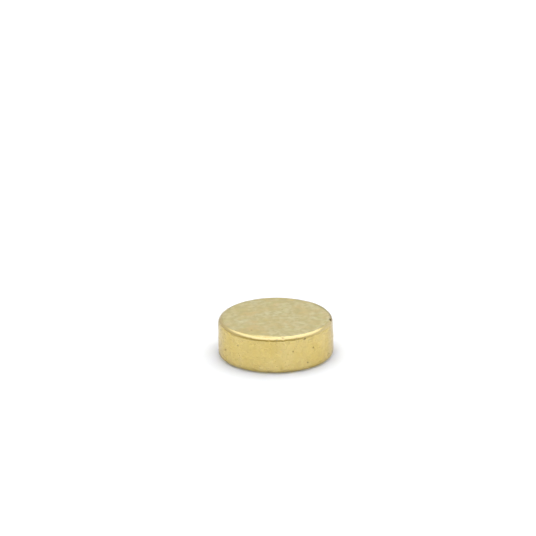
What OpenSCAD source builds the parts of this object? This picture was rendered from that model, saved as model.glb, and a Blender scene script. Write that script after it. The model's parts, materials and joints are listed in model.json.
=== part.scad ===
// Plated disc magnet, in millimetres.
//
// A plain round magnet of pressed and sintered rare-earth alloy, magnetised through its thickness.
// Its two faces and its rim are ground flat and round, its edges are tumbled until they are rounded,
// and it is then plated all over. It has no bore, no step and no separate part.
//
// The origin is the centre of the bottom face. +Z runs up the axis of the disc, from pole to pole.

/* [Disc] */
// Diameter of the disc across its ground rim
disc_diameter = 3; // [1:0.1:20]
// Thickness of the disc from its bottom face to its top face
disc_thickness = 1; // [0.5:0.1:10]

/* [Edges] */
// Radius that tumbling leaves on the top and the bottom edge
edge_radius = 0.125; // [0.05:0.005:0.2]

/* [Chip] */
// Length of the small chip, measured along the top edge
chip_length = 0.16; // [0.12:0.01:0.3]
// Width of the chip across the edge, before the curve of the edge narrows it
chip_width = 0.08; // [0.04:0.005:0.1]
// Depth of the chip below the skin of the rounded edge
chip_depth = 0.022; // [0.01:0.001:0.03]
// Bearing of the chip round the disc, in degrees from +X towards +Y
chip_bearing = -7; // [-180:1:180]
// Place of the chip up the rounded edge, in degrees from the rim to the top face
chip_slope = 57; // [20:1:70]

/* [Hidden] */

gold_plate = [0.84, 0.73, 0.42];
round_fn = 96;
chip_fn = 48;

disc_radius = disc_diameter / 2;
// The rounded edges are rings whose section is centred on this radius
edge_centre = disc_radius - edge_radius;
// Height of the straight stretch of rim between the two rounded edges
rim_height = disc_thickness - 2 * edge_radius;
// Radius of the round-ended scoop that takes out a chip of the stated width and depth
scoop_radius = (pow(chip_width / 2, 2) + pow(chip_depth, 2)) / (2 * chip_depth);
// Length of the scoop between the middles of its two round ends
scoop_run = chip_length - chip_width;

// Half of the section through the axis: two flat faces and a straight rim, joined by a quarter
// round at each edge.
module half_section() {
    square([edge_centre, disc_thickness]);
    translate([0, edge_radius])
        square([disc_radius, rim_height]);
    for (height = [edge_radius, disc_thickness - edge_radius])
        translate([edge_centre, height])
            circle(r = edge_radius, $fn = round_fn);
}

// The scoop that takes out the chip. It lies along the top edge, set square to the skin.
module chip_scoop() {
    rotate([0, 0, chip_bearing])
        translate([edge_centre, 0, disc_thickness - edge_radius])
            rotate([0, -chip_slope, 0])
                translate([edge_radius + scoop_radius - chip_depth, 0, 0])
                    rotate([90, 0, 0]) {
                        cylinder(r = scoop_radius, h = scoop_run, center = true, $fn = chip_fn);
                        for (end = [-0.5, 0.5])
                            translate([0, 0, end * scoop_run])
                                sphere(r = scoop_radius, $fn = chip_fn);
                    }
}

module magnet() {
    color(gold_plate)
        difference() {
            rotate_extrude($fn = round_fn)
                half_section();
            chip_scoop();
        }
}

magnet();
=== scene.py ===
"""A gold-plated disc magnet on a plain white table, under one large soft box."""

import json
import math

import bmesh
import bpy
from bpy.props import FloatProperty, FloatVectorProperty, IntProperty, PointerProperty
from mathutils import Matrix, Quaternion, Vector, noise


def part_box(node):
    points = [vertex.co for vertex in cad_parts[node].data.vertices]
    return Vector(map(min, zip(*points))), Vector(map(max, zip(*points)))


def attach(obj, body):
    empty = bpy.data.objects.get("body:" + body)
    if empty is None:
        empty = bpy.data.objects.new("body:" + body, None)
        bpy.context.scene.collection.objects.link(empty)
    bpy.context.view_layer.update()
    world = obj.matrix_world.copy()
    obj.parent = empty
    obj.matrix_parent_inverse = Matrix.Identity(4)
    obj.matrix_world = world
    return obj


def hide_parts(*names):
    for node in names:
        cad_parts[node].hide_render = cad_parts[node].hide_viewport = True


bl_info = {
    "name": "Plated disc magnet",
    "version": (1, 0, 0),
    "blender": (4, 5, 0),
    "location": "3D View > Sidebar > Magnet",
    "description": "Builds a small gold-plated disc magnet and the table and lamp that show it",
    "category": "Add Mesh",
}

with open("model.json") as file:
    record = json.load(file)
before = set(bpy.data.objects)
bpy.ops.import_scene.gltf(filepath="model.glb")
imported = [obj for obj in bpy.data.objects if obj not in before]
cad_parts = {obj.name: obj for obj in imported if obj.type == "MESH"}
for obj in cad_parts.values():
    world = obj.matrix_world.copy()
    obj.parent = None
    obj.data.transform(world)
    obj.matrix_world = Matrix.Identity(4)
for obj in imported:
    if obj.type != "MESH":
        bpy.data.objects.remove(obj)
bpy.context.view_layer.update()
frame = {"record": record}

# The disc is modelled in millimetres and brought to metres as its last step.
MM = 0.001

LOW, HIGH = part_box("magnet")
RIM_MOUNT = next(m for m in frame["record"]["mounts"] if m["name"] == "rim")
DIAMETER = 2 * RIM_MOUNT["dims"]["r_mm"] * MM
THICKNESS = HIGH.z - LOW.z
# The rim's straight wall is what the two rounded edges leave of the thickness.
EDGE_RADIUS = (THICKNESS - RIM_MOUNT["dims"]["length_mm"] * MM) / 2

# The section is spun through one of these sectors, which is then copied round. Where sectors meet, points
# closer than the seam, in millimetres, are one.
SECTORS = 8
SEAM = 1e-5


# ---------------------------------------------------------------- marks of making and wear, and a painted reflection


# Knocks in the top edge: bearing and slope in degrees, width and depth in millimetres, and how bare.
TOP_KNOCKS = (
    (-89, 27, 0.075, 0.004, 0.15),
    (-83, 58, 0.13, 0.009, 0.2),
    (-97, 30, 0.05, 0.003, 0.0),
    (-116, 29, 0.07, 0.0035, 0.0),
    (-131, 31, 0.09, 0.003, 0.0),
    (-69, 28, 0.07, 0.004, 0.15),
    (-60, 15, 0.1, 0.005, 0.35),
    (25, 78, 0.06, 0.003, 0.45),
    (49, 84, 0.1, 0.003, 0.2),
    (61, 84, 0.07, 0.003, 0.2),
    (97, 25, 0.07, 0.004, 0.3),
    (128, 55, 0.1, 0.003, 0.0),
    (149, 76, 0.08, 0.004, 0.25),
    (163, 30, 0.08, 0.004, 0.2),
)

# Knocks in the bottom edge, in the same order.
BOTTOM_KNOCKS = (
    (-98, 24, 0.07, 0.004, 0.4),
    (-150, 28, 0.06, 0.003, 0.2),
    (-38, 32, 0.09, 0.003, 0.0),
    (14, 22, 0.06, 0.004, 0.3),
    (76, 35, 0.09, 0.004, 0.0),
    (137, 28, 0.07, 0.003, 0.3),
    (-166, 30, 0.08, 0.004, 0.0),
)

# Faint marks in the top face: bearing in degrees, distance out, width and depth in millimetres, how bare.
FACE_MARKS = (
    (72, 0.58, 0.055, 0.003, 0.3),
    (-125, 1.1, 0.065, 0.003, 0.4),
    (163, 0.82, 0.04, 0.002, 0.2),
    (-20, 0.66, 0.035, 0.002, 0.2),
)

# Broad clouds on the faces: middle and radius in millimetres, and how much warmer, or cooler if under 0.
FACE_CLOUDS = (
    (0.65, -0.3, 0.6, -0.6),
    (0.85, 0.55, 0.35, -0.2),
    (-1.1, -0.55, 0.4, 0.4),
    (0.4, -1.15, 0.4, 0.5),
    (-0.9, 0.8, 0.35, 0.3),
    (0.3, 1.05, 0.35, 0.3),
)

# The unevenness of the rounded edges: waves per millimetre, share of its height, and a shift of the waves.
SWELLS = (
    (3.1, 1.0, (0, 0, 0)),
    (9.0, 0.55, (5, 0, 0)),
    (21.0, 0.18, (0, 9, 0)),
)

# How far past the rounded edges the unevenness reaches, and over what height it comes in above the flat foot,
# as shares of their radius.
SWELL_REACH = 1.6
SWELL_LIFT = 0.5

# Stretches of the top edge that tumbling rounded more: bearing and half length in degrees, and depth in
# millimetres.
EASED = (
    (-103, 26, 0.014),
    (-20, 15, 0.005),
    (62, 24, 0.007),
    (155, 30, 0.009),
)

# How far that easing reaches over the top face, in millimetres, and where it has its full depth: how far out
# over the edge, as a share of its radius, and from which slope up the edge.
EASED_REACH = 0.06
EASED_OUT = 0.15
EASED_SLOPE = math.radians(75)

# A stretch that tumbling rounded less: bearing and half length in degrees, and how much further out the top
# face reaches there, in millimetres.
SPARED = (-154, 25, 0.035)

# Height of the bottom edge's rounding, as a share of its radius.
FOOT_HEIGHT = 0.85

# How far the rubbed place reaches up the edge, down the rim and ahead of its painted dark line, and over what
# length round the disc it fades out, all as angles.
RUB_UP = math.radians(85)
RUB_DOWN = math.radians(150)
RUB_LEAD = math.radians(20)
RUB_FADE = 0.4

# The dark line in the rubbed place, a painted reflection put in as bare plating, which climbs: its slopes up
# the edge at its two ends, and its half width.
REFLECTION_START = math.radians(40)
REFLECTION_END = math.radians(92)
REFLECTION_SPREAD = math.radians(36)

# Over what lengths round the disc that line comes in and fades out, as angles, and how far it goes towards
# the colour of bare plating.
REFLECTION_RISE = 1 / 12
REFLECTION_FADE = 1 / 4
REFLECTION_MOST = 0.62

# That line's patches: their waves per millimetre, how strong they are, and a gain that widens its core.
REFLECTION_WAVES = 8
REFLECTION_PATCHES = 0.9
REFLECTION_CORE = 1.6

# A dent's mesh is cut until it has at least this many steps across the dent.
DENT_STEPS = 9

# The low lip round a dent: its height as a share of the depth, and its place and half width as shares of the
# dent's half width.
LIP_HEIGHT = 0.2
LIP_PLACE = 1.15
LIP_SPREAD = 0.25

# Waves of the ragged outline and of the gritty floor in a dent's length, and by what share the grit changes
# the depth.
RAG_WAVES = 2.5
GRIT_WAVES = 6
GRIT = 0.5

# How quickly the bareness of a dent grows from its lip inwards.
BARE_GAIN = 2.2

# Pits in the rim: bearing in degrees from +X towards +Y, height and width in millimetres, and how bare.
RIM_PITS = (
    (-50, 0.59, 0.06, 0.5),
    (-73, 0.6, 0.05, 0.4),
    (-151, 0.39, 0.065, 0.6),
    (-57, 0.22, 0.06, 0.5),
    (-131, 0.66, 0.045, 0.5),
    (-134, 0.25, 0.04, 0.3),
    (-153, 0.53, 0.035, 0.2),
    (-24, 0.21, 0.05, 0.5),
    (-13, 0.45, 0.035, 0.2),
    (21, 0.33, 0.04, 0.15),
    (57, 0.61, 0.035, 0.3),
    (66, 0.24, 0.025, 0.1),
    (84, 0.42, 0.055, 0.4),
    (112, 0.28, 0.03, 0.15),
    (141, 0.66, 0.04, 0.1),
    (172, 0.5, 0.035, 0.3),
    (-176, 0.27, 0.025, 0.15),
)


# ---------------------------------------------------------------- colours and light


# Shares of red, green and blue that turn the plain gold into its own tints, and, last, into a paler gold that
# is a painted highlight.
COOL_TINT = (1.1, 1.16, 1.48)
WARM_TINT = (0.97, 0.88, 0.66)
DULL_TINT = (0.86, 0.84, 0.78)
STAIN_TINT = (1.07, 0.93, 0.86)
GREEN_TINT = (0.94, 0.99, 0.9)
RIM_LIGHT = (1.03, 1.035, 1.1)
RIM_DEEP = (0.98, 0.96, 0.89)
FLECK_TINT = (0.72, 0.7, 0.7)
# A painted highlight: paler gold on the middle line of both rounded edges, all round the disc.
PAINTED_HIGHLIGHT_TINT = (1.06, 1.1, 1.5)

# What the plating keeps of the light that glances along it.
GRAZING_TINT = (0.8, 0.8, 0.85)

# What the plating mirrors: walls that grow paler from left to right, a dimmer wall above them, a dim warm
# room in front, and a dark ceiling over the soft box.
LEFT_WALL = (0.76, 0.74, 0.67)
RIGHT_WALL = (0.98, 1.0, 1.05)
ROOM = (0.55, 0.53, 0.36)
UPPER_WALL = (0.79, 0.79, 0.68)
OVERHEAD = (0.1, 0.1, 0.105)

# The even light that falls on matt things besides the soft box's.
AMBIENT = (0.395, 0.42, 0.455)

# White of the table, how deep light goes into it in metres, and shares of that depth for red, green and blue.
TABLE = (0.995, 0.995, 0.995)
TABLE_DEPTH = 0.8 * MM
TABLE_SHARES = (1, 0.95, 0.55)

# The soft box is brighter in its middle. Each layer has its width, depth, height, place to the right and
# brightness as shares.
SOFT_BOX = ((2.1, 2.2, 1.0, 0.1, 1.0), (1.4, 1.5, 0.97, 0.03, 0.7))

# How far behind the disc the soft box stands, as a share of its height.
SOFT_BOX_BEHIND = 0.14

# Directions of the hairline scratches across the faces, in degrees from +X.
SCRATCH_TURNS = (20, 75, -35)

# How much clouds and hairlines change the roughness, and what grain and hairlines add to the dimples' height.
CLOUD_ROUGHNESS = 0.16
HAIRLINE_ROUGHNESS = 0.12
GRAIN_HEIGHT = 0.28
HAIRLINE_HEIGHT = -0.3


# ---------------------------------------------------------------- settings


class MagnetSize(bpy.types.PropertyGroup):
    """Sizes of the disc and fineness of its mesh"""

    diameter: FloatProperty(
        name="Diameter",
        description="Diameter across the ground rim",
        default=DIAMETER,
        unit="LENGTH",
    )
    thickness: FloatProperty(
        name="Thickness",
        description="From the bottom face to the top face",
        default=THICKNESS,
        unit="LENGTH",
    )
    edge_radius: FloatProperty(
        name="Edge radius",
        description="Radius that tumbling leaves on both edges",
        default=EDGE_RADIUS,
        unit="LENGTH",
    )
    spokes: IntProperty(
        name="Spokes",
        description="Steps of the mesh once round the disc",
        default=384,
    )
    edge_rings: IntProperty(
        name="Edge rings",
        description="Rings of mesh up each rounded edge",
        default=26,
    )
    face_rings: IntProperty(
        name="Face rings",
        description="Rings of mesh from the middle of a face to its edge",
        default=50,
    )
    rim_rings: IntProperty(
        name="Rim rings",
        description="Rings of mesh up the straight rim",
        default=30,
    )


class MagnetWear(bpy.types.PropertyGroup):
    """Unevenness, chip and pits of the disc's surface"""

    swell: FloatProperty(
        name="Tumbled swell",
        description="Height of the slow unevenness that tumbling leaves on the rounded edges",
        default=0.003 * MM,
        unit="LENGTH",
    )
    chip_length: FloatProperty(
        name="Chip length",
        description="Length of the chip, measured along the top edge",
        default=0.16 * MM,
        unit="LENGTH",
    )
    chip_width: FloatProperty(
        name="Chip width",
        description="Width of the chip across the edge",
        default=0.08 * MM,
        unit="LENGTH",
    )
    chip_depth: FloatProperty(
        name="Chip depth",
        description="Depth of the chip below the skin of the edge",
        default=0.022 * MM,
        unit="LENGTH",
    )
    chip_bearing: FloatProperty(
        name="Chip bearing",
        description="Bearing of the chip round the disc, from +X towards +Y",
        default=math.radians(-7),
        unit="ROTATION",
    )
    chip_slope: FloatProperty(
        name="Chip slope",
        description="Place of the chip up the rounded edge, from the rim to the top face",
        default=math.radians(57),
        unit="ROTATION",
    )
    rub_end: FloatProperty(
        name="Rub end",
        description="Bearing at which the rubbed line that starts at the chip ends",
        default=math.radians(45),
        unit="ROTATION",
    )
    rub_depth: FloatProperty(
        name="Rub depth",
        description="How far the edge is rubbed down there",
        default=0.017 * MM,
        precision=6,
        unit="LENGTH",
    )
    pit_depth: FloatProperty(
        name="Pit depth",
        description="Depth of the pits in the rim, as a share of their width",
        default=0.2,
        subtype="FACTOR",
    )


class MagnetFinish(bpy.types.PropertyGroup):
    """Colours and polish of the plating"""

    rim_gold: FloatVectorProperty(
        name="Rim gold",
        description="Colour of the plating on the rim and the rounded edges",
        default=(0.637, 0.499, 0.187),
        size=3,
        subtype="COLOR",
    )
    face_gold: FloatVectorProperty(
        name="Face gold",
        description="Colour of the plating on the two ground faces",
        default=(0.686, 0.606, 0.306),
        size=3,
        subtype="COLOR",
    )
    bare_alloy: FloatVectorProperty(
        name="Bare alloy",
        description="Colour where the plating is gone",
        default=(0.2, 0.15, 0.06),
        size=3,
        subtype="COLOR",
    )
    face_roughness: FloatProperty(
        name="Face roughness",
        description="Roughness of the ground faces",
        default=0.33,
        subtype="FACTOR",
    )
    rim_roughness: FloatProperty(
        name="Rim roughness",
        description="Roughness of the ground rim",
        default=0.27,
        subtype="FACTOR",
    )
    edge_roughness: FloatProperty(
        name="Edge roughness",
        description="Roughness of the rounded edges, which tumbling polishes most",
        default=0.22,
        subtype="FACTOR",
    )
    bare_roughness: FloatProperty(
        name="Bare roughness",
        description="Roughness where the plating is gone",
        default=0.6,
        subtype="FACTOR",
    )
    relief: FloatProperty(
        name="Skin relief",
        description="Height of the fine dimples and grain of the plating",
        default=0.0009 * MM,
        precision=6,
        unit="LENGTH",
    )


class MagnetStudio(bpy.types.PropertyGroup):
    """The camera, the soft box and the table"""

    camera_distance: FloatProperty(
        name="Camera distance",
        description="From the middle of the disc's bottom face to the camera",
        default=150 * MM,
        unit="LENGTH",
    )
    camera_elevation: FloatProperty(
        name="Camera elevation",
        description="Angle of that line above the table",
        default=math.radians(21.75),
        unit="ROTATION",
    )
    camera_roll: FloatProperty(
        name="Camera roll",
        description="Clockwise turn of the camera about its own line of sight",
        default=math.radians(0.73),
        unit="ROTATION",
    )
    view_width: FloatProperty(
        name="View width",
        description="Width that the view takes in at the disc",
        default=13.98 * MM,
        unit="LENGTH",
    )
    aim_above: FloatProperty(
        name="Aim above",
        description="How far above the disc's bottom the camera aims, across its line of sight",
        default=2.214 * MM,
        unit="LENGTH",
    )
    aim_left: FloatProperty(
        name="Aim left",
        description="How far left of the disc's middle the camera aims",
        default=0.183 * MM,
        unit="LENGTH",
    )
    lamp_height: FloatProperty(
        name="Soft box height",
        description="Height of the soft box above the table",
        default=200 * MM,
        unit="LENGTH",
    )
    lamp_brightness: FloatProperty(
        name="Soft box brightness",
        description="Radiance of the soft box, where white paper in full light is 1",
        default=0.95,
    )
    table_width: FloatProperty(
        name="Table width",
        description="Width of the round table top",
        default=4.0,
        unit="LENGTH",
    )


SETTINGS = {
    "magnet_size": MagnetSize,
    "magnet_wear": MagnetWear,
    "magnet_finish": MagnetFinish,
    "magnet_studio": MagnetStudio,
}


# ---------------------------------------------------------------- mesh of the disc


def half_section(bm, size):
    """Draws half of the disc's section, in millimetres, as one line of vertices from pole to pole."""
    radius = size.diameter / 2 / MM
    thickness = size.thickness / MM
    corners = [(0, 0), (radius, 0), (radius, thickness), (0, thickness)]
    points = [bm.verts.new((x, 0, z)) for x, z in corners]
    lines = [bm.edges.new(pair) for pair in zip(points, points[1:])]
    rings = (size.face_rings, size.rim_rings, size.face_rings)
    bmesh.ops.bevel(
        bm,
        geom=points[1:3],
        offset=size.edge_radius / MM,
        offset_type="OFFSET",
        segments=size.edge_rings,
        profile=0.5,
        affect="VERTICES",
        material=-1,
    )
    for line, count in zip(straight_lines(bm), rings):
        bmesh.ops.subdivide_edges(bm, edges=[line], cuts=count - 1)


def straight_lines(bm):
    """The section's three long straight lines, from the bottom face up."""
    longest = sorted(bm.edges, key=lambda line: -line.calc_length())[:3]
    return sorted(longest, key=lambda line: line.verts[0].co.z + line.verts[1].co.z)


def turn(bm, spokes):
    """Spins the section through one sector, then copies the sector round the axis and joins the seams."""
    sector = 2 * math.pi / SECTORS
    spin = {"cent": (0, 0, 0), "axis": (0, 0, 1)}
    section = bm.verts[:] + bm.edges[:]
    bmesh.ops.spin(bm, geom=section, angle=sector, steps=spokes // SECTORS, **spin)
    wedge = bm.verts[:] + bm.edges[:] + bm.faces[:]
    bmesh.ops.spin(
        bm, geom=wedge, angle=2 * math.pi - sector, steps=SECTORS - 1, use_duplicate=True, **spin
    )
    bmesh.ops.remove_doubles(bm, verts=bm.verts, dist=SEAM)
    bmesh.ops.recalc_face_normals(bm, faces=bm.faces)


# ---------------------------------------------------------------- wear of the disc, and a painted reflection


def on_edge(size, bearing, slope, top=True):
    """A point of a rounded edge and the outward direction there, by bearing round and slope up the edge."""
    radius = size.edge_radius / MM
    centre = size.diameter / 2 / MM - radius
    rise = math.sin(slope)
    height = size.thickness / MM - radius + radius * rise if top else radius - radius * rise
    away = centre + radius * math.cos(slope)
    point = Vector((away * math.cos(bearing), away * math.sin(bearing), height))
    flat = math.cos(slope)
    out = Vector((flat * math.cos(bearing), flat * math.sin(bearing), rise if top else -rise))
    return point, out


def on_rim(size, bearing, height):
    """A point of the straight rim and the outward direction there, by bearing round and height."""
    out = Vector((math.cos(bearing), math.sin(bearing), 0))
    return out * (size.diameter / 2 / MM) + Vector((0, 0, height)), out


def on_face(size, bearing, away):
    """A point of the top face and the outward direction there, by bearing round and distance out."""
    point = Vector((away * math.cos(bearing), away * math.sin(bearing), size.thickness / MM))
    return point, Vector((0, 0, 1))


def dent(bm, wear_and_painted_reflection, point, out, length, depth, bare=0.0, rag=0.35, stretch=0.5, across=None):
    """Presses a ragged hollow into the skin, a little shorter across than along, with a low lip round it.

    The mesh is made finer there first, so the hollow keeps its own outline. It is marked with how bare it is.
    """
    if across is None:
        across = out.orthogonal().normalized()
        across.rotate(Quaternion(out, 3 * noise.noise(point * 5)))
    reach = length / 2 * (1 + 2 * rag)
    near = [face for face in bm.faces if (face.calc_center_median() - point).length < reach]
    # A dict keeps the edges in their order, which a set would not.
    edges = dict.fromkeys(edge for face in near for edge in face.edges)
    longest = max(edge.calc_length() for edge in edges)
    cuts = min(4, int(longest / (length / DENT_STEPS)))
    long_edges = [edge for edge in edges if edge.calc_length() > length / DENT_STEPS]
    if cuts:
        bmesh.ops.subdivide_edges(bm, edges=long_edges, cuts=cuts, use_grid_fill=True)
    for vert in bm.verts:
        away = vert.co - point
        if away.length > reach:
            continue
        side = away - out * away.dot(out)
        side += across * side.dot(across) * stretch
        ragged = 1 + rag * noise.noise(vert.co * (RAG_WAVES / length) + point * 7)
        share = side.length / (length / 2 * ragged)
        hollow = max(0.0, 1 - share * share)
        lip = LIP_HEIGHT * max(0.0, 1 - abs(share - LIP_PLACE) / LIP_SPREAD)
        grit = 1 + GRIT * noise.noise(vert.co * (GRIT_WAVES / length))
        vert.co -= out * depth * (hollow - lip) * grit
        vert[wear_and_painted_reflection] = max(vert[wear_and_painted_reflection], min(1.0, bare * BARE_GAIN * max(0.0, LIP_PLACE - share)))


def soft(share):
    """Turns an even rise from 0 to 1 into one that starts and ends softly."""
    share = max(0.0, min(1.0, share))
    return share * share * (3 - 2 * share)


def bump(bearing, middle, half):
    """How much of a hump there is at a bearing: 1 at its middle, 0 from its half length on, in degrees."""
    along = max(0.0, 1 - ((bearing - middle + 180) % 360 - 180) ** 2 / half**2)
    return along * along


def ease_edges(bm, size):
    """Rounds the top edge more in some stretches and less in one, and lowers the bottom edge's rounding."""
    edge = size.edge_radius / MM
    centre = size.diameter / 2 / MM - edge
    floor = size.thickness / MM - edge
    for vert in bm.verts:
        away = math.hypot(vert.co.x, vert.co.y) - centre
        if away > 0 and vert.co.z < edge:
            vert.co.z *= FOOT_HEIGHT
        if away < -EASED_REACH or vert.co.z < floor:
            continue
        slope = math.atan2(vert.co.z - floor, max(away, 0.0))
        bearing = math.degrees(math.atan2(vert.co.y, vert.co.x))
        if away > 0:
            spared = SPARED[2] * bump(bearing, *SPARED[:2])
            outwards = Vector((vert.co.x, vert.co.y, 0)).normalized()
            vert.co += outwards * spared * (1 - math.cos(slope))
        inwards = soft((away + EASED_REACH) / (EASED_REACH + EASED_OUT * edge))
        share = inwards * min(1.0, slope / EASED_SLOPE) ** 2
        for middle, half, depth in EASED:
            vert.co.z -= depth * share * bump(bearing, middle, half)


def rub_edge(bm, wear_and_painted_reflection, size, start, end, depth):
    """Rubs down the top edge and the rim just under it between two bearings, and paints a dark line there as
    bare plating, which is a painted reflection.
    """
    edge = size.edge_radius / MM
    centre = size.diameter / 2 / MM - edge
    floor = size.thickness / MM - edge
    for vert in bm.verts:
        bearing = math.atan2(vert.co.y, vert.co.x)
        if not start - RUB_LEAD < bearing < end or vert.co.z < floor - 3 * edge:
            continue
        slope = (vert.co.z - floor) / edge
        if slope > 0:
            slope = math.atan2(vert.co.z - floor, math.hypot(vert.co.x, vert.co.y) - centre)
        reach = RUB_UP if slope > 0 else RUB_DOWN
        coming = (bearing - start + RUB_LEAD) / RUB_LEAD
        fading = (end - bearing) / RUB_FADE
        shape = max(0.0, 1 - (slope / reach) ** 2) * min(1.0, coming, fading)
        vert.co -= vert.normal * depth * shape
        # The dark line: a painted reflection, marked as bare plating.
        climb = REFLECTION_START + (REFLECTION_END - REFLECTION_START) * (bearing - start) / (end - start)
        across = max(0.0, 1 - abs(slope - climb) / REFLECTION_SPREAD)
        along = max(0.0, min(1.0, (bearing - start) / REFLECTION_RISE, (end - bearing) / REFLECTION_FADE))
        patch = 1 + REFLECTION_PATCHES * noise.noise(vert.co * REFLECTION_WAVES)
        vert[wear_and_painted_reflection] = max(vert[wear_and_painted_reflection], REFLECTION_MOST * min(1.0, REFLECTION_CORE * across * along * patch))


def swell_edges(bm, size, height):
    """The slow unevenness and the small flats that tumbling leaves on both rounded edges."""
    radius = size.diameter / 2 / MM
    thickness = size.thickness / MM
    edge = size.edge_radius / MM
    middle = thickness / 2
    moves = []
    for vert in bm.verts:
        away = math.hypot(vert.co.x, vert.co.y)
        depth_in = radius - away
        from_end = middle - abs(vert.co.z - middle)
        on_round = max(0.0, 1 - max(depth_in, from_end) / (SWELL_REACH * edge))
        if not on_round:
            continue
        # The disc's foot stays flat on the table.
        lift = min(1.0, vert.co.z / (SWELL_LIFT * edge))
        unevenness = sum(
            share * noise.noise(vert.co * waves + Vector(shift)) for waves, share, shift in SWELLS
        )
        moves.append((vert, vert.normal * height * on_round * lift * unevenness))
    for vert, move in moves:
        vert.co += move


def press_chip(bm, wear_and_painted_reflection, size, wear):
    """The one deep chip, which lies along the top edge."""
    point, out = on_edge(size, wear.chip_bearing, wear.chip_slope)
    across = out.cross(Vector((0, 0, 1))).cross(out).normalized()
    narrowing = wear.chip_length / wear.chip_width - 1
    dent(
        bm,
        wear_and_painted_reflection,
        point,
        out,
        wear.chip_length / MM,
        wear.chip_depth / MM,
        bare=1.5,
        rag=0.25,
        stretch=narrowing,
        across=across,
    )


def press_marks(bm, wear_and_painted_reflection, size, pit_depth):
    """The small marks: knocks in both edges, faint marks in the top face and pits in the rim."""
    for knocks, top in ((TOP_KNOCKS, True), (BOTTOM_KNOCKS, False)):
        for bearing, slope, width, depth, worn in knocks:
            point, out = on_edge(size, math.radians(bearing), math.radians(slope), top)
            dent(bm, wear_and_painted_reflection, point, out, width, depth, bare=worn)
    for bearing, away, width, depth, worn in FACE_MARKS:
        point, out = on_face(size, math.radians(bearing), away)
        dent(bm, wear_and_painted_reflection, point, out, width, depth, bare=worn)
    for bearing, height, width, worn in RIM_PITS:
        point, out = on_rim(size, math.radians(bearing), height)
        dent(bm, wear_and_painted_reflection, point, out, width, width * pit_depth, bare=worn, stretch=0.2)


def make_disc_mesh(size, wear):
    """The whole disc with its marks, in metres, and an attribute that says how bare of plating it is, which
    along the rubbed edge holds a painted reflection.
    """
    bm = bmesh.new()
    half_section(bm, size)
    turn(bm, size.spokes)
    bm.normal_update()
    # How bare each point is from real wear, and along the rubbed edge a painted reflection.
    wear_and_painted_reflection = bm.verts.layers.float.new("wear_and_painted_reflection")
    swell_edges(bm, size, wear.swell / MM)
    ease_edges(bm, size)
    rub_edge(bm, wear_and_painted_reflection, size, wear.chip_bearing, wear.rub_end, wear.rub_depth / MM)
    press_chip(bm, wear_and_painted_reflection, size, wear)
    press_marks(bm, wear_and_painted_reflection, size, wear.pit_depth)
    for face in bm.faces:
        face.smooth = True
    bmesh.ops.recalc_face_normals(bm, faces=bm.faces)
    bmesh.ops.scale(bm, vec=(MM, MM, MM), verts=bm.verts)
    mesh = bpy.data.meshes.new("magnet_skin")
    bm.to_mesh(mesh)
    bm.free()
    return mesh


# ---------------------------------------------------------------- material nodes


def socket(value):
    """Whether a value given for a node's input is another node's output."""
    return isinstance(value, bpy.types.NodeSocket)


def add_node(tree, kind, inputs=None, **settings):
    """Adds a node, sets its own settings, and sets or links its inputs by name or number."""
    made = tree.nodes.new("ShaderNode" + kind)
    for name, value in settings.items():
        setattr(made, name, value)
    for name, value in (inputs or {}).items():
        if socket(value):
            tree.links.new(value, made.inputs[name])
        else:
            made.inputs[name].default_value = value
    return made


def maths(tree, operation, *values, clamp=False):
    inputs = dict(enumerate(values))
    return add_node(tree, "Math", inputs, operation=operation, use_clamp=clamp).outputs[0]


def smooth_step(tree, value, low, high):
    """0 where value is under low and 1 where it is over high, with a soft step between."""
    inputs = {"Value": value, "From Min": low, "From Max": high}
    made = add_node(tree, "MapRange", inputs, interpolation_type="SMOOTHSTEP")
    return made.outputs["Result"]


def blend_colour(tree, factor, first, second):
    """The first colour where factor is 0 and the second where it is 1."""
    made = add_node(tree, "Mix", data_type="RGBA")
    for name, value in (("Factor_Float", factor), ("A_Color", first), ("B_Color", second)):
        target = next(s for s in made.inputs if s.identifier == name)
        if socket(value):
            tree.links.new(value, target)
        else:
            target.default_value = value
    return next(s for s in made.outputs if s.identifier == "Result_Color")


def blend_number(tree, factor, first, second):
    """The first number where factor is 0 and the second where it is 1."""
    return add_node(tree, "Mix", {0: factor, 2: first, 3: second}, data_type="FLOAT").outputs[0]


def opaque(colour):
    return (*colour, 1.0)


def new_material(name):
    material = bpy.data.materials.new(name)
    material.use_nodes = True
    material.node_tree.nodes.clear()
    return material, material.node_tree


def speckle(tree, place, scale, detail=2.0, roughness=0.5, low=0.0, high=1.0, shift=0.0):
    """Noise of the given fineness per millimetre, stepped softly between low and high."""
    inputs = {"Vector": place, "W": shift, "Scale": scale, "Detail": detail, "Roughness": roughness}
    made = add_node(tree, "TexNoise", inputs, noise_dimensions="4D").outputs["Fac"]
    return smooth_step(tree, made, low, high)


def stretched(tree, place, scale, turn=0.0):
    """The place turned about the axis and scaled unevenly, so that noise on it runs in lines."""
    turned = add_node(tree, "VectorRotate", {"Vector": place, "Angle": turn}, rotation_type="Z_AXIS")
    product = {0: turned.outputs["Vector"], 1: scale}
    return add_node(tree, "VectorMath", product, operation="MULTIPLY").outputs["Vector"]


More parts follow.
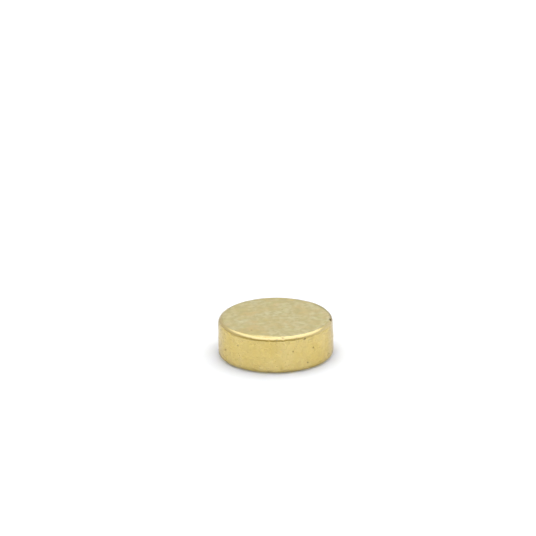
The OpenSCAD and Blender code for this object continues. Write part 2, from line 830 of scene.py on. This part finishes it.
def disc_masks(tree, place, size):
    """How far a point belongs to the rim and not a face, to a rounded edge, and to the middle line of a
    rounded edge, where a painted highlight goes.
    """
    parts = add_node(tree, "SeparateXYZ", {"Vector": place}).outputs
    squares = [maths(tree, "MULTIPLY", parts[axis], parts[axis]) for axis in "XY"]
    away = maths(tree, "SQRT", maths(tree, "ADD", *squares))
    edge = size.edge_radius / MM
    centre = size.diameter / 2 / MM - edge
    side = smooth_step(tree, away, centre + 0.4 * edge, centre + 0.95 * edge)
    middle = size.thickness / MM / 2
    from_middle = maths(tree, "ABSOLUTE", maths(tree, "SUBTRACT", parts["Z"], middle))
    ends = smooth_step(tree, from_middle, middle - 1.05 * edge, middle - 0.75 * edge)
    outer = smooth_step(tree, away, centre - 0.05 * edge, centre + 0.15 * edge)
    # The middle line of both rounded edges, which gets a painted highlight.
    highlight_in = smooth_step(tree, away, centre + 0.1 * edge, centre + 0.6 * edge)
    highlight_out = smooth_step(tree, away, centre + 0.94 * edge, centre + 0.8 * edge)
    return side, maths(tree, "MULTIPLY", ends, outer), maths(tree, "MULTIPLY", highlight_in, highlight_out)


def tinted(colour, shades):
    return opaque(part * shade for part, shade in zip(colour, shades))


def face_colour(tree, place, gold):
    """Pale gold clouded between a cooler and a warmer tint, with sparse warm stains and green ones."""
    clouds = speckle(tree, place, 1.3, detail=5.0, roughness=0.65, low=0.36, high=0.64)
    parts = add_node(tree, "SeparateXYZ", {"Vector": place}).outputs
    flat = add_node(tree, "CombineXYZ", {"X": parts["X"], "Y": parts["Y"]}).outputs["Vector"]
    for x, y, radius, warmth in FACE_CLOUDS:
        between = add_node(tree, "VectorMath", {0: flat, 1: (x, y, 0)}, operation="DISTANCE")
        near = smooth_step(tree, between.outputs["Value"], radius, 0.0)
        clouds = maths(tree, "MULTIPLY_ADD", near, warmth, clouds, clamp=True)
    colour = blend_colour(tree, clouds, tinted(gold, COOL_TINT), tinted(gold, WARM_TINT))
    dapple = speckle(tree, place, 6.0, detail=3.0, roughness=0.6, low=0.33, high=0.67, shift=3.0)
    colour = blend_colour(tree, dapple, colour, tinted(gold, DULL_TINT))
    stain = speckle(tree, place, 2.8, detail=5.0, roughness=0.65, low=0.47, high=0.75, shift=7.0)
    colour = blend_colour(tree, maths(tree, "MULTIPLY", stain, 0.8), colour, tinted(gold, STAIN_TINT))
    green = speckle(tree, place, 3.1, detail=5.0, roughness=0.65, low=0.5, high=0.75, shift=11.0)
    return blend_colour(tree, maths(tree, "MULTIPLY", green, 0.8), colour, tinted(gold, GREEN_TINT))


def rim_colour(tree, place, gold):
    """Deeper gold with faint upright streaks and small dull flecks."""
    upright = stretched(tree, place, (1.0, 1.0, 0.4))
    streak = speckle(tree, upright, 2.8, detail=3.0, roughness=0.6, low=0.37, high=0.63, shift=1.0)
    colour = blend_colour(tree, streak, tinted(gold, RIM_LIGHT), tinted(gold, RIM_DEEP))
    fleck = speckle(tree, place, 11.0, detail=2.0, low=0.62, high=0.74, shift=4.0)
    return blend_colour(tree, maths(tree, "MULTIPLY", fleck, 0.5), colour, tinted(gold, FLECK_TINT))


def scratches(tree, place, side):
    """Hairlines: three crossing directions on the faces, and round and up the rim."""
    lines = []
    for number, turn in enumerate(SCRATCH_TURNS):
        lined = stretched(tree, place, (1.1, 42.0, 1.1), math.radians(turn))
        lines.append(speckle(tree, lined, 1.0, detail=1.0, low=0.66, high=0.76, shift=2.0 * number))
    crossed = maths(tree, "MAXIMUM", lines[0], maths(tree, "MAXIMUM", lines[1], lines[2]))
    round_lines = speckle(tree, stretched(tree, place, (0.9, 0.9, 38.0)), 1.0, low=0.6, high=0.74, shift=9.0)
    up_lines = speckle(tree, stretched(tree, place, (30.0, 30.0, 1.3)), 1.0, low=0.66, high=0.78, shift=5.0)
    return blend_number(tree, side, crossed, maths(tree, "MAXIMUM", round_lines, up_lines))


def plating_relief(tree, place, side, hairline):
    """Height of the skin: broad tumbled dimples, fine plated grain and hairline scratches."""
    dimple = speckle(tree, place, 13.0, detail=2.0, roughness=0.55)
    grain = speckle(tree, place, 48.0, detail=2.0, roughness=0.6, shift=6.0)
    height = maths(tree, "MULTIPLY_ADD", grain, GRAIN_HEIGHT, dimple)
    return maths(tree, "MULTIPLY_ADD", hairline, HAIRLINE_HEIGHT, height)


def gold_plate(size, finish):
    """Gold plate over a ground and tumbled disc: satin faces, a finer rim and polished edges."""
    material, tree = new_material("gold_plate")
    metres = add_node(tree, "TexCoord").outputs["Object"]
    place = add_node(tree, "VectorMath", {0: metres, "Scale": 1 / MM}, operation="SCALE").outputs["Vector"]
    side, edge, painted_highlight = disc_masks(tree, place, size)
    # How bare of plating a point is; along the rubbed edge this is a painted reflection.
    bare = add_node(tree, "Attribute", attribute_name="wear_and_painted_reflection").outputs["Fac"]
    hairline = scratches(tree, place, side)

    face = face_colour(tree, place, finish.face_gold)
    rim = rim_colour(tree, place, finish.rim_gold)
    colour = blend_colour(tree, side, face, rim)
    # A painted highlight: paler gold along the middle of the rounded edges.
    colour = blend_colour(tree, painted_highlight, colour, tinted(finish.rim_gold, PAINTED_HIGHLIGHT_TINT))
    # Bare alloy where the plating is worn off, and a painted reflection as a dark line along the rubbed edge.
    colour = blend_colour(tree, bare, colour, opaque(finish.bare_alloy))

    cloudy = speckle(tree, place, 6.0, detail=3.0, low=0.3, high=0.7, shift=8.0)
    rough = blend_number(tree, side, finish.face_roughness, finish.rim_roughness)
    rough = blend_number(tree, edge, rough, finish.edge_roughness)
    clouding = maths(tree, "MULTIPLY_ADD", cloudy, CLOUD_ROUGHNESS, 1 - CLOUD_ROUGHNESS / 2)
    rough = maths(tree, "MULTIPLY", rough, clouding)
    rough = maths(tree, "MULTIPLY_ADD", hairline, HAIRLINE_ROUGHNESS, rough)
    rough = blend_number(tree, bare, rough, finish.bare_roughness)

    relief = add_node(
        tree,
        "Bump",
        {"Height": plating_relief(tree, place, side, hairline), "Strength": 1.0, "Distance": finish.relief},
    )
    shader = add_node(
        tree,
        "BsdfPrincipled",
        {
            "Base Color": colour,
            "Metallic": 1.0,
            "Roughness": rough,
            "Specular Tint": opaque(GRAZING_TINT),
            "Normal": relief.outputs["Normal"],
        },
    )
    output = add_node(tree, "OutputMaterial")
    tree.links.new(shader.outputs["BSDF"], output.inputs["Surface"])
    return material


def white_table():
    """Matt white card for the disc's shadow, a little cloudy inside so that the shadow's foot is soft."""
    material, tree = new_material("white_table")
    inputs = {"Color": opaque(TABLE), "Scale": TABLE_DEPTH, "Radius": TABLE_SHARES}
    card = add_node(tree, "SubsurfaceScattering", inputs, falloff="BURLEY")
    output = add_node(tree, "OutputMaterial")
    tree.links.new(card.outputs[0], output.inputs["Surface"])
    return material


# ---------------------------------------------------------------- studio


def make_camera(studio):
    """Looks down at the disc from the front, with the disc a little below the middle of the view."""
    rise = studio.camera_elevation
    towards = Vector((0, -math.cos(rise), math.sin(rise)))
    right = Vector((1, 0, 0))
    up = towards.cross(right)
    place = towards * studio.camera_distance
    aim = up * studio.aim_above - right * studio.aim_left
    data = bpy.data.cameras.new("camera")
    camera = bpy.data.objects.new("camera", data)
    bpy.context.scene.collection.objects.link(camera)
    data.sensor_width = 36
    data.lens = data.sensor_width * studio.camera_distance / studio.view_width
    data.clip_start = studio.camera_distance / 100
    data.clip_end = studio.table_width * 2
    turned = (aim - place).to_track_quat("-Z", "Y").to_matrix().to_4x4()
    rolled = Matrix.Rotation(-studio.camera_roll, 4, "Z")
    camera.matrix_world = Matrix.Translation(place) @ turned @ rolled
    bpy.context.scene.camera = camera


def make_soft_box(studio):
    """One large soft box overhead, set a little behind the disc and to its right."""
    for width, depth, rise, rightwards, share in SOFT_BOX:
        height = studio.lamp_height * rise
        data = bpy.data.lights.new("soft_box", "AREA")
        data.shape = "ELLIPSE"
        data.size = width * height
        data.size_y = depth * height
        # An ellipse gives its power off over a quarter of pi of its box.
        area = data.size * data.size_y * math.pi / 4
        data.energy = studio.lamp_brightness * share * math.pi * area
        lamp = bpy.data.objects.new("soft_box", data)
        lamp.location = (rightwards * height, SOFT_BOX_BEHIND * height, height)
        lamp.visible_camera = False
        bpy.context.scene.collection.objects.link(lamp)


def make_table(studio):
    bm = bmesh.new()
    bmesh.ops.create_circle(bm, cap_ends=True, radius=studio.table_width / 2, segments=128)
    mesh = bpy.data.meshes.new("table")
    bm.to_mesh(mesh)
    bm.free()
    mesh.materials.append(white_table())
    table = bpy.data.objects.new("table", mesh)
    bpy.context.scene.collection.objects.link(table)


def light_world():
    """White where it is seen, pale or dim where the plating mirrors it, and low and even on matt things."""
    world = bpy.data.worlds.new("studio")
    bpy.context.scene.world = world
    world.use_nodes = True
    tree = world.node_tree
    tree.nodes.clear()
    towards = add_node(tree, "TexCoord").outputs["Generated"]
    parts = add_node(tree, "SeparateXYZ", {"Vector": towards}).outputs

    rightwards = smooth_step(tree, parts["X"], -0.7, 0.7)
    walls = blend_colour(tree, rightwards, opaque(LEFT_WALL), opaque(RIGHT_WALL))
    upper = smooth_step(tree, parts["Z"], 0.35, 0.6)
    walls = blend_colour(tree, upper, walls, opaque(UPPER_WALL))

    # The room in front of the disc, up to the soft box.
    leaning = maths(tree, "MULTIPLY_ADD", parts["X"], 0.1, maths(tree, "MULTIPLY", parts["Y"], 0.95))
    in_front = smooth_step(tree, leaning, 0.1, -0.85)
    low = smooth_step(tree, parts["Z"], 0.75, 0.62)
    walls = blend_colour(tree, maths(tree, "MULTIPLY", in_front, low), walls, opaque(ROOM))
    overhead = smooth_step(tree, parts["Z"], 0.68, 0.86)
    walls = blend_colour(tree, overhead, walls, opaque(OVERHEAD))

    light_path = add_node(tree, "LightPath").outputs
    on_matt = maths(tree, "MINIMUM", light_path["Diffuse Depth"], 1.0)
    shade = blend_colour(tree, on_matt, walls, opaque(AMBIENT))
    shade = blend_colour(tree, light_path["Is Camera Ray"], shade, opaque((1, 1, 1)))
    background = add_node(tree, "Background", {"Color": shade, "Strength": 1.0})
    output = add_node(tree, "OutputWorld")
    tree.links.new(background.outputs[0], output.inputs["Surface"])


# ---------------------------------------------------------------- operators and panel


class MAGNET_OT_disc(bpy.types.Operator):
    """Makes the plated disc in place of the plain one"""

    bl_idname = "magnet.disc"
    bl_label = "Make disc"
    bl_options = {"REGISTER", "UNDO"}

    def execute(self, context):
        scene = context.scene
        mesh = make_disc_mesh(scene.magnet_size, scene.magnet_wear)
        mesh.materials.append(gold_plate(scene.magnet_size, scene.magnet_finish))
        disc = bpy.data.objects.new("plated_disc", mesh)
        scene.collection.objects.link(disc)
        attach(disc, "root")
        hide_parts("magnet")
        return {"FINISHED"}


class MAGNET_OT_studio(bpy.types.Operator):
    """Makes the camera, the soft box, the white table and the light around them"""

    bl_idname = "magnet.studio"
    bl_label = "Make studio"
    bl_options = {"REGISTER", "UNDO"}

    def execute(self, context):
        studio = context.scene.magnet_studio
        make_camera(studio)
        make_soft_box(studio)
        make_table(studio)
        light_world()
        context.scene.view_settings.view_transform = "Standard"
        return {"FINISHED"}


OPERATORS = (MAGNET_OT_disc, MAGNET_OT_studio)


class MAGNET_PT_sidebar(bpy.types.Panel):
    """Lists the sizes, the finish and the operators that make the pieces"""

    bl_label = "Disc magnet"
    bl_space_type = "VIEW_3D"
    bl_region_type = "UI"
    bl_category = "Magnet"

    def draw(self, context):
        for name, group in SETTINGS.items():
            box = self.layout.box()
            for setting in group.__annotations__:
                box.prop(getattr(context.scene, name), setting)
        for operator in OPERATORS:
            self.layout.operator(operator.bl_idname)


CLASSES = (*SETTINGS.values(), *OPERATORS, MAGNET_PT_sidebar)


def register():
    for cls in CLASSES:
        bpy.utils.register_class(cls)
    for name, group in SETTINGS.items():
        setattr(bpy.types.Scene, name, PointerProperty(type=group))


def unregister():
    for name in SETTINGS:
        delattr(bpy.types.Scene, name)
    for cls in reversed(CLASSES):
        bpy.utils.unregister_class(cls)


def main():
    """Makes the studio and the disc."""
    register()
    bpy.ops.magnet.studio()
    bpy.ops.magnet.disc()


if __name__ == "__main__":
    main()
